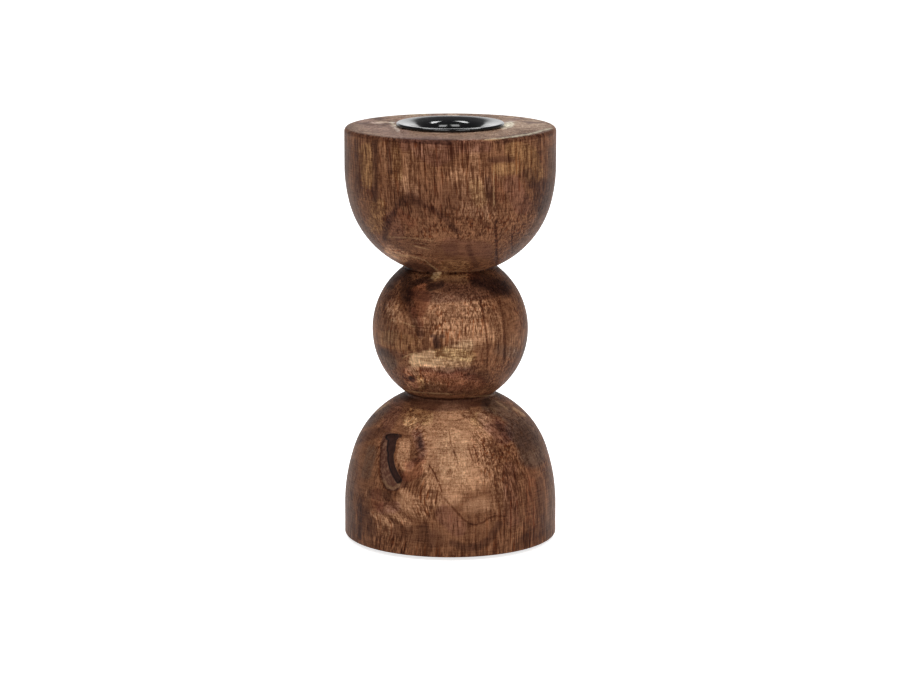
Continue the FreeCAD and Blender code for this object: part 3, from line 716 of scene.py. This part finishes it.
def carve_pocket(piece, view):
    """Sinks the bark pocket and its channel into the block, and stores both for the wood."""
    pocket = view.stroke(*POCKET)
    channel = view.strokes(CHANNEL_STROKES)
    out = view.places * (1, 1, 0)
    out /= np.maximum(np.linalg.norm(out, axis=1), MM)[:, None]
    depth = pocket * POCKET_DEPTH + channel * CHANNEL_DEPTH
    move_vertices(piece, view.places - depth[:, None] * out)
    add_values(piece.data, "pocket", pocket)
    add_values(piece.data, "channel", channel)


# Materials

def srgb(red, green, blue):
    """A colour as a screen shows it, turned to the linear values that the shaders use."""
    share = np.array((red, green, blue)) / 255
    return (*np.where(share < 0.04045, share / 12.92, ((share + 0.055) / 1.055) ** 2.4), 1.0)


class Graph:
    """Builds the nodes of a material or a world. Each method gives the socket of its result."""

    def __init__(self, owner):
        owner.use_nodes = True
        self.owner = owner
        self.tree = owner.node_tree

    def join(self, value, socket):
        """Links a socket to a result, or gives it a plain value."""
        if isinstance(value, bpy.types.NodeSocket):
            self.tree.links.new(value, socket)
        else:
            socket.default_value = value

    def node(self, kind, sockets=None, **settings):
        made = self.tree.nodes.new(kind)
        for name, value in settings.items():
            setattr(made, name, value)
        for key, value in (sockets or {}).items():
            self.join(value, made.inputs[key])
        return made

    def finish(self, shader="Principled BSDF", **sockets):
        """Feeds the shader's sockets, and gives the material or the world."""
        for name, value in sockets.items():
            self.join(value, self.tree.nodes[shader].inputs[name.replace("_", " ")])
        return self.owner

    def math(self, operation, *values):
        return self.node("ShaderNodeMath", dict(enumerate(values)), operation=operation).outputs[0]

    def add(self, *values):
        total = values[0]
        for value in values[1:]:
            total = self.math("ADD", total, value)
        return total

    def times(self, *values):
        total = values[0]
        for value in values[1:]:
            total = self.math("MULTIPLY", total, value)
        return total

    def swing(self, value, size):
        """A noise value as a swing of the size about zero."""
        return self.times(self.math("SUBTRACT", value, 0.5), size)

    def vector(self, operation, *values):
        made = self.node("ShaderNodeVectorMath", dict(enumerate(values)), operation=operation)
        return made.outputs[0]

    def length(self, value):
        return self.node("ShaderNodeVectorMath", {0: value}, operation="LENGTH").outputs["Value"]

    def parts(self, value):
        return self.node("ShaderNodeSeparateXYZ", {0: value}).outputs

    def place(self):
        return self.node("ShaderNodeTexCoord").outputs["Object"]

    def stored(self, name, output="Fac"):
        return self.node("ShaderNodeAttribute", attribute_name=name).outputs[output]

    def noise(self, place, across, along, detail=2.0, roughness=0.5, start=0.0):
        """Noise with cells of a size in millimetres across the grain and along it."""
        spread = self.vector("MULTIPLY_ADD", place, (
            1 / across / MM, 1 / across / MM, 1 / along / MM), (start, start, start))
        return self.node("ShaderNodeTexNoise", {
            "Vector": spread, "Scale": 1.0, "Detail": detail, "Roughness": roughness,
        }).outputs["Fac"]

    def step(self, value, low, high, top=1.0):
        """A smooth step from zero at low to the top at high."""
        return self.node("ShaderNodeMapRange", {
            "Value": value, "From Min": low, "From Max": high, "To Max": top,
        }, interpolation_type="SMOOTHSTEP").outputs[0]

    def ramp(self, value, low, high, bottom, top):
        """A straight ramp from the bottom at low to the top at high."""
        return self.node("ShaderNodeMapRange", {
            "Value": value, "From Min": low, "From Max": high, "To Min": bottom, "To Max": top,
        }).outputs[0]

    def blend(self, factor, a, b):
        """A number between two others."""
        return self.node("ShaderNodeMix", {0: factor, 2: a, 3: b}).outputs[0]

    def mix(self, factor, a, b):
        """A colour between two others."""
        return self.node("ShaderNodeMix", {0: factor, 6: a, 7: b}, data_type="RGBA").outputs[2]

    def tint(self, factor, colour, share):
        """A colour, multiplied by shares of red, green and blue as far as the factor says."""
        return self.mix(factor, colour, self.vector("MULTIPLY", colour, share))

    def bump(self, height, depth, strength=1.0):
        return self.node("ShaderNodeBump", {
            "Height": height, "Distance": depth, "Strength": strength}).outputs[0]


WOOD_LIGHT = srgb(162, 112, 80)
WOOD_MIDDLE = srgb(116, 76, 52)
WOOD_DARK = srgb(80, 46, 28)
PALE_LIGHT, PALE_DARK = srgb(240, 204, 162), srgb(160, 112, 74)
BARK_LIGHT, BARK_DARK = srgb(122, 88, 70), srgb(84, 52, 40)
# The channel: near black at its edges, painted shade in the crack over dark bark, lighter in its
# middle
CHANNEL_LIGHT, CHANNEL_SHADE_AND_BARK = srgb(74, 49, 42), srgb(26, 14, 13)
# Colour of the pale lines and of the painted highlights among them
LINE_AND_HIGHLIGHT_COLOUR = srgb(196, 156, 114)

# Shares of red, green and blue that tint the wood

PORE = (0.52, 0.35, 0.26)
# The dark lines' tint, which also paints the groove shade at the lower neck
LINE_AND_GROOVE_SHADE_TINT = (0.32, 0.20, 0.15)
# A paler, greyer tint of the top face: a painted sheen of the light
TOP_FACE_SHEEN = (1.39, 2.14, 3.08)

# Noises that bend with the grain, and noises that don't: the size of their cells in millimetres
# across the grain and along it, detail, roughness and start

GRAIN_NOISES = {
    "figure": (13, 30, 3, 0.55),
    "bands": (2.6, 40, 2, 0.55),
    "streaks": (1.1, 20, 2, 0.6),
    "pores": (0.85, 17, 1, 0.5, 5),
    "fibres": (0.42, 4.2, 1, 0.6, 11),
}
PLACE_NOISES = {
    "cross_streaks": (7, 0.8, 2, 0.6),
    "cross_pores": (4, 0.7, 1, 0.6, 5),
    "calm_patches": (13, 20, 1, 0.5, 4),
    "vigour": (9, 14, 1, 0.5, 3),
    "mottle": (1.2, 1.2, 3, 0.65),
    "specks": (0.42, 0.42, 1, 0.5, 13),
    "turning": (6, 0.45, 1, 0.5, 15),
    "wobble": (1.6, 1.6, 3, 0.6, 7),
    "breaks": (0.9, 0.9, 2, 0.6, 9),
}
PATCH_CELLS, PATCH_START = (10, 17, 2, 0.6), 19

# How far the noises swing the wood's tone about its mean, the edges of marks, and the relief

MEAN_TONE = 0.35
TONE_SWINGS = {
    "streaks": 1.3, "fibres": 2.1, "figure": 1.0, "bands": 0.6, "mottle": 0.9, "specks": 0.7,
    "turning": 0.7,
}
FRAY_SWINGS = {"streaks": 1.0, "mottle": 0.9, "pores": 0.5}
RELIEF_SWINGS = {"streaks": 0.6, "mottle": 0.5}
PALE_FRAY = 0.8

# Smooth steps: where each begins and where it is full

CALM_PATCH_EDGE = (0.4, 0.58)
RING_EDGE = (0.55, 1.0)
PATCH_EDGE = (0.54, 0.7)
FRAYED_EDGE, MARK_EDGE = (-0.1, 1.1), (0.0, 0.6)
PALE_EDGE, PALE_COVER = (0.2, 1.3), 0.6
PORE_EDGE = (0.56, 0.63)
BARK_EDGE, POCKET_EDGE = (0.42, 0.66), (0.35, 0.75)
CHANNEL_EDGE, CHANNEL_FLOOR = (0.1, 0.6), (0.7, 1.0)
BREAK_EDGE, LINE_EDGE = (0.22, 0.52), (1.9, 0.5)

# Straight ramps: where each begins and ends, and the values there

CALM = (0, 1, 1, 0.35)
VIGOUR = (0.3, 0.65, 0.45, 1.3)
PORES_IN_CREAM = (0, 0.6, 0.9, 0.35)
WOOD_ROUGHNESS = (0.3, 0.7, 0.42, 0.58)

# The wood's gloss and relief, how far thin lines waver in pixels, and the depth below the top at
# which the top face's painted pale sheen begins and is full

WOOD_GLOSS = 0.05
WOOD_RELIEF, WOOD_RELIEF_STRENGTH = 0.08 * MM, 0.8
LINE_WOBBLE, LEAST_WIDTH, LIGHT_LINE_AND_HIGHLIGHT_COVER = 2.6, 0.05, 0.6
TOP_EDGE_START, TOP_EDGE_END = 0.4 * MM, 0.1 * MM

# The pith that the growth rings run round, behind the block, how slowly they close along it, and
# how far the figure shifts them

PITH = (0.012, 0.085, 0)
PITH_STRETCH = (1, 1, 0.04)
RING_WIDTH = 5.2 * MM
RING_SHIFT = 9 * MM
RING_SHADE = -0.14

# Enamel, zinc and felt. Their cells are noises as above

ENAMEL_DARK, ENAMEL_LIGHT = (0.003, 0.003, 0.0035, 1), (0.007, 0.007, 0.008, 1)
ENAMEL_ROUGHNESS, ENAMEL_IOR = (0.08, 0.15), 1.55
ENAMEL_RIPPLE, ENAMEL_RIPPLE_STRENGTH = 0.02 * MM, 0.3
SMEAR_CELLS, RIPPLE_CELLS = (6, 6, 3, 0.6), (1.6, 1.6)
ZINC_DARK, ZINC_LIGHT = srgb(150, 150, 152), srgb(196, 196, 200)
ZINC_ROUGHNESS = (0.25, 0.45)
SPANGLE_CELLS = (0.5, 0.5, 3, 0.6)
FELT_DARK, FELT_LIGHT = srgb(34, 30, 28), srgb(70, 63, 58)
FELT_ROUGHNESS, FELT_SHEEN, FELT_NAP = 0.95, 0.3, 0.12 * MM
TUFT_CELLS, HAIR_CELLS = (0.7, 0.7, 4, 0.7), (0.15, 0.5)


def wood_layers(g):
    """The noises that the wood's figure is made of, and how strong and how calm it is."""
    place, grain = g.place(), g.stored("grain", "Vector")
    layers = SimpleNamespace(place=place, grain=grain)
    for name, cells in GRAIN_NOISES.items():
        setattr(layers, name, g.noise(grain, *cells))
    for name, cells in PLACE_NOISES.items():
        setattr(layers, name, g.noise(place, *cells))
    across = g.stored("across")
    layers.streaks = g.blend(across, layers.streaks, layers.cross_streaks)
    layers.pores = g.blend(across, layers.pores, layers.cross_pores)
    calm_patch = g.times(g.stored("unseen"), g.step(layers.calm_patches, *CALM_PATCH_EDGE))
    layers.calm = g.ramp(g.math("MAXIMUM", g.stored("calm"), calm_patch), *CALM)
    layers.strength = g.times(g.ramp(layers.vigour, *VIGOUR), layers.calm)
    return layers


def swings(g, layers, sizes):
    """Several of the noises as swings about zero, by their names."""
    return {name: g.swing(getattr(layers, name), size) for name, size in sizes.items()}


def plain_wood(g, layers):
    """The wood's colour before the marks, with growth rings about a pith behind the block."""
    flat = g.vector("MULTIPLY", g.vector("SUBTRACT", layers.grain, PITH), PITH_STRETCH)
    reach = g.math("ADD", g.length(flat), g.times(layers.figure, RING_SHIFT))
    ring = g.step(g.math("FRACT", g.math("DIVIDE", reach, RING_WIDTH)), *RING_EDGE)
    swing = swings(g, layers, TONE_SWINGS)
    lively = g.add(swing["streaks"], swing["fibres"])
    broad = g.add(swing["figure"], swing["bands"], g.times(ring, RING_SHADE))
    tone = g.add(
        MEAN_TONE,
        g.times(broad, g.math("SQRT", layers.calm)),
        g.times(lively, layers.strength),
        g.times(swing["mottle"], layers.calm),
        swing["specks"],
        swing["turning"],
    )
    return g.mix(g.math("MAXIMUM", g.math("MINIMUM", tone, 1.0), 0.0), WOOD_DARK, WOOD_LIGHT)


def add_tones(g, layers, colour):
    """Tints the wood by marks, some painted shade and sheen, edges frayed along the grain, and
    patches behind.
    """
    fray = g.add(*swings(g, layers, FRAY_SWINGS).values())
    unseen = g.stored("unseen")
    for number, (name, (tint, cover)) in enumerate(TONES.items()):
        mark = g.stored(name)
        if name in PATCHES:
            cells = g.noise(layers.grain, *PATCH_CELLS, PATCH_START + number)
            mark = g.math("MAXIMUM", mark, g.times(unseen, g.step(cells, *PATCH_EDGE)))
        frayed = g.step(g.math("ADD", mark, fray), *FRAYED_EDGE)
        shown = g.times(frayed, g.step(mark, *MARK_EDGE), cover)
        share = [part / middle for part, middle in zip(srgb(*tint), WOOD_MIDDLE)]
        colour = g.tint(shown, colour, share[:3])
    return colour


def add_pale_wood(g, layers, colour):
    """Lays smooth, pale wood over the cream marks."""
    mark = g.math("ADD", g.stored("cream"), g.swing(layers.streaks, PALE_FRAY))
    pale = g.mix(layers.streaks, PALE_DARK, PALE_LIGHT)
    return g.mix(g.step(mark, *PALE_EDGE, PALE_COVER), colour, pale)


def add_bark(g, layers, colour):
    """Fills the bark pocket, and the channel in it with dark bark and painted shade."""
    pocket, channel = g.stored("pocket"), g.stored("channel")
    bark = g.mix(g.step(layers.mottle, *BARK_EDGE), BARK_DARK, BARK_LIGHT)
    # Painted shade in the channel: near black at its edges, lighter in its middle with the mottle
    lit = g.times(g.step(channel, *CHANNEL_FLOOR), layers.mottle)
    floor = g.mix(lit, CHANNEL_SHADE_AND_BARK, CHANNEL_LIGHT)
    colour = g.mix(g.step(pocket, *POCKET_EDGE), colour, bark)
    return g.mix(g.step(channel, *CHANNEL_EDGE), colour, floor)


def line_mask(g, layers, name):
    """The thin lines stored under a name, wavering and broken, one where they are darkest."""
    offset, width, strength = g.parts(g.stored(name, "Vector"))
    off = g.math("ABSOLUTE", g.math("ADD", offset, g.swing(layers.wobble, LINE_WOBBLE)))
    widths = g.math("DIVIDE", off, g.math("ADD", width, LEAST_WIDTH))
    return g.times(g.step(widths, *LINE_EDGE), strength, g.step(layers.breaks, *BREAK_EDGE))


def wood(top):
    """Oiled wood: figure, marks, pores, bark, lines; painted shade, highlights and a pale top-face
    sheen.
    """
    g = Graph(bpy.data.materials.new("mango_wood_finish"))
    layers = wood_layers(g)
    colour = add_tones(g, layers, plain_wood(g, layers))
    deep = g.ramp(g.stored("cream"), *PORES_IN_CREAM)
    pore = g.times(g.step(layers.pores, *PORE_EDGE), layers.strength, deep)
    colour = g.tint(pore, colour, PORE)
    colour = add_bark(g, layers, add_pale_wood(g, layers, colour))
    # Dark grain lines, and painted shade in the groove at the lower neck
    lines = line_mask(g, layers, "dark_lines_and_groove_shade")
    colour = g.tint(lines, colour, LINE_AND_GROOVE_SHADE_TINT)
    # Pale lines, some of them painted highlights, sheen and reflections
    light_lines_and_highlights = g.times(line_mask(g, layers, "light_lines_and_highlights"), LIGHT_LINE_AND_HIGHLIGHT_COVER)
    colour = g.mix(light_lines_and_highlights, colour, LINE_AND_HIGHLIGHT_COLOUR)

    # The top face is tinted paler and greyer: a painted sheen of the light on its end grain
    height = g.parts(layers.place)[2]
    colour = g.tint(g.step(height, top - TOP_EDGE_START, top - TOP_EDGE_END), colour, TOP_FACE_SHEEN)

    raised = swings(g, layers, RELIEF_SWINGS).values()
    relief = g.add(*raised, g.times(pore, -1.0), g.times(lines, -1.0))
    return g.finish(
        Base_Color=colour,
        Roughness=g.ramp(layers.mottle, *WOOD_ROUGHNESS),
        Normal=g.bump(relief, WOOD_RELIEF, WOOD_RELIEF_STRENGTH),
        Specular_IOR_Level=WOOD_GLOSS,
    )


def enamel():
    """Gloss black enamel with faint smears and ripples."""
    g = Graph(bpy.data.materials.new("black_enamel_finish"))
    place = g.place()
    smear = g.noise(place, *SMEAR_CELLS)
    ripple = g.noise(place, *RIPPLE_CELLS)
    return g.finish(
        Base_Color=g.mix(smear, ENAMEL_DARK, ENAMEL_LIGHT),
        Roughness=g.ramp(smear, 0, 1, *ENAMEL_ROUGHNESS),
        Normal=g.bump(ripple, ENAMEL_RIPPLE, ENAMEL_RIPPLE_STRENGTH),
        IOR=ENAMEL_IOR,
    )


def zinc():
    """Zinc-plated steel."""
    g = Graph(bpy.data.materials.new("zinc_steel_finish"))
    spangle = g.noise(g.place(), *SPANGLE_CELLS)
    return g.finish(
        Base_Color=g.mix(spangle, ZINC_DARK, ZINC_LIGHT),
        Roughness=g.ramp(spangle, 0, 1, *ZINC_ROUGHNESS),
        Metallic=1.0,
    )


def felt():
    """Dark felt with tufts and fine hair."""
    g = Graph(bpy.data.materials.new("felt_finish"))
    place = g.place()
    tuft = g.noise(place, *TUFT_CELLS)
    hair = g.noise(place, *HAIR_CELLS)
    return g.finish(
        Base_Color=g.mix(tuft, FELT_DARK, FELT_LIGHT),
        Roughness=FELT_ROUGHNESS,
        Normal=g.bump(g.math("ADD", tuft, hair), FELT_NAP),
        Sheen_Weight=FELT_SHEEN,
    )


# Pieces

def dress(piece, material, node):
    """Gives a piece its material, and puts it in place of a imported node."""
    piece.data.materials.append(material)
    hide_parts(node)
    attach(piece, "root")


def make_block(points, top):
    """The turned block, with the marks of its wood stored for the material."""
    piece = turned_mesh("turned_block", points, body_turns())
    view = View(piece)
    for name, marks in MARKS.items():
        add_values(piece.data, name, view.strokes(marks))
    add_values(piece.data, "dark_lines_and_groove_shade", view.lines(DARK_LINES_AND_GROOVE_SHADE))
    add_values(piece.data, "light_lines_and_highlights", view.lines(LIGHT_LINES_AND_HIGHLIGHTS))
    add_values(piece.data, "grain", grain_places(view))
    add_values(piece.data, "unseen", np.clip(view.places[:, 1] / UNSEEN_FADE + 0.5, 0, 1))
    carve_pocket(piece, view)
    dress(piece, wood(top), "turned_body")


def make_cup(top):
    """The enamelled cup, as one closed sheet turned all the way round."""
    turns = np.linspace(0, 2 * math.pi, CUP_COLUMNS, endpoint=False)
    dress(turned_mesh("enamelled_cup", cup_outline(top), turns, closed=True),
          enamel(), "candle_cup")


def make_felt_pads():
    """Felt discs with a soft, slightly uneven edge, in place of the plain ones."""
    material = felt()
    turns = np.linspace(0, 2 * math.pi, CUP_COLUMNS // 2, endpoint=False)
    for number in range(1, PAD_COUNT + 1):
        node = f"felt_pad_{number}"
        low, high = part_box(node)
        centre = (low + high) / 2
        edge = (high.x - low.x) / 2 - PAD_EDGE_ROUND
        points = outline(
            line((0, low.z), (edge, low.z), STEP),
            arc((edge, low.z + PAD_EDGE_ROUND), PAD_EDGE_ROUND, -QUARTER, 0, PAD_EDGE_ROUND / 4),
            arc((edge, high.z - PAD_EDGE_ROUND), PAD_EDGE_ROUND, 0, QUARTER, PAD_EDGE_ROUND / 4),
            line((edge, high.z), (0, high.z), STEP),
        )
        piece = turned_mesh(f"felt_disc_{number}", points, turns)
        places = vertex_vectors(piece)
        turn = np.arctan2(places[:, 1], places[:, 0]) + number
        wave = np.sin(PAD_WAVES[0] * turn) * np.sin(PAD_WAVES[1] * turn)
        places[:, :2] *= (1 - PAD_UNEVENNESS * (1 + wave))[:, None]
        move_vertices(piece, places + (centre.x, centre.y, 0))
        dress(piece, material, node)


def finish_screw():
    """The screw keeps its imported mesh, and gets a zinc finish."""
    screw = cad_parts["cup_screw"]
    screw.data.materials.clear()
    screw.data.materials.append(zinc())


# Camera, light and floor

# Softboxes: place, width and height, and power in watts

SOFTBOXES = {
    "front_left": ((-0.36, -0.90, 0.98), (0.6, 0.55), 6.1),
    "front_right": ((0.55, -0.90, 0.93), (0.6, 0.55), 6.3),
    "top_left": ((-0.34, 0.34, 1.21), (0.5, 0.26), 4.8),
    "top_right": ((0.43, 0.34, 1.19), (0.5, 0.26), 5.0),
}
AIM = (0, 0, 0.09)
WHITE = (1, 1, 1, 1)

# The studio round the stand: a bright backdrop up to a low height, and dim elsewhere. The floor
# glows white to the camera and to gloss, and a little less near the stand, where its shadow is

BACKDROP, STUDIO = 1.2, 0.12
BACKDROP_TOP = (0.22, 0.36)
BACKDROP_WIDTH = (0.6, 0.95)
FLOOR_WHITE, FLOOR_ROUGHNESS = (0.85, 0.85, 0.85, 1), 0.9
FLOOR_GLOW, GLOW_START, GLOW_END = 0.78, 0.12, 0.6
FLOOR_REACH = 4.0


def make_camera():
    """The camera that took the photograph."""
    camera = link("camera", bpy.data.cameras.new("camera"))
    camera.data.sensor_width = SENSOR
    camera.data.lens = FOCAL_PIXELS / PHOTO_SIZE[0] * SENSOR
    camera.location = CAMERA_PLACE
    camera.rotation_euler = (QUARTER - CAMERA_TILT, 0, 0)
    bpy.context.scene.camera = camera


def softbox(name, place, size, watts):
    """One rectangular lamp, turned towards the stand."""
    data = bpy.data.lights.new(name, "AREA")
    data.shape = "RECTANGLE"
    data.size, data.size_y = size
    data.energy = watts
    lamp = link(name, data)
    lamp.location = place
    lamp.rotation_euler = (Vector(AIM) - Vector(place)).to_track_quat("-Z", "Y").to_euler()


def make_lights():
    for name, settings in SOFTBOXES.items():
        softbox(name, *settings)


def make_world():
    """A white studio: white to the camera, and otherwise a bright backdrop in dim surroundings."""
    world = bpy.data.worlds.new("studio")
    g = Graph(world)
    _, ahead, up = g.parts(g.node("ShaderNodeTexCoord").outputs["Generated"])
    backdrop = g.times(g.step(ahead, *BACKDROP_WIDTH), g.step(up, *reversed(BACKDROP_TOP)))
    camera_ray = g.node("ShaderNodeLightPath").outputs["Is Camera Ray"]
    studio = g.blend(backdrop, STUDIO, BACKDROP)
    g.finish("Background", Color=WHITE, Strength=g.blend(camera_ray, studio, 1.0))
    bpy.context.scene.world = world


def make_floor():
    """A white floor that keeps a faint shadow near the stand. Gloss shows its white too."""
    corners = [
        (-FLOOR_REACH, -FLOOR_REACH, 0), (FLOOR_REACH, -FLOOR_REACH, 0),
        (FLOOR_REACH, FLOOR_REACH, 0), (-FLOOR_REACH, FLOOR_REACH, 0),
    ]
    mesh = bpy.data.meshes.new("floor")
    mesh.from_pydata(corners, [], [(0, 1, 2, 3)])
    floor = link("floor", mesh)
    g = Graph(bpy.data.materials.new("floor_white"))
    glow = g.ramp(g.length(g.place()), GLOW_START, GLOW_END, FLOOR_GLOW, 1.0)
    rays = g.node("ShaderNodeLightPath").outputs
    seen = g.math("MAXIMUM", rays["Is Camera Ray"], rays["Is Glossy Ray"])
    mesh.materials.append(g.finish(
        Base_Color=FLOOR_WHITE, Roughness=FLOOR_ROUGHNESS, Emission_Color=WHITE,
        Emission_Strength=g.times(seen, glow)))


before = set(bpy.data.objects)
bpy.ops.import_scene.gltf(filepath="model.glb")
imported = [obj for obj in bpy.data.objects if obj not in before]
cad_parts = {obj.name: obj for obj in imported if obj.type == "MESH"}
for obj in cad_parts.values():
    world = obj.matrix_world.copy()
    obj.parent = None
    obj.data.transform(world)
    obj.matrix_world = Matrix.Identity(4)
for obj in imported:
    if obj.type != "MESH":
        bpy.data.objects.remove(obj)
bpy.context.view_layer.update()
outside, top = body_outline()
make_block(outline(outside, socket_outline(top)), top)
make_cup(top)
make_felt_pads()
finish_screw()
make_camera()
make_lights()
make_world()
make_floor()
bpy.context.scene.view_settings.view_transform = "Standard"
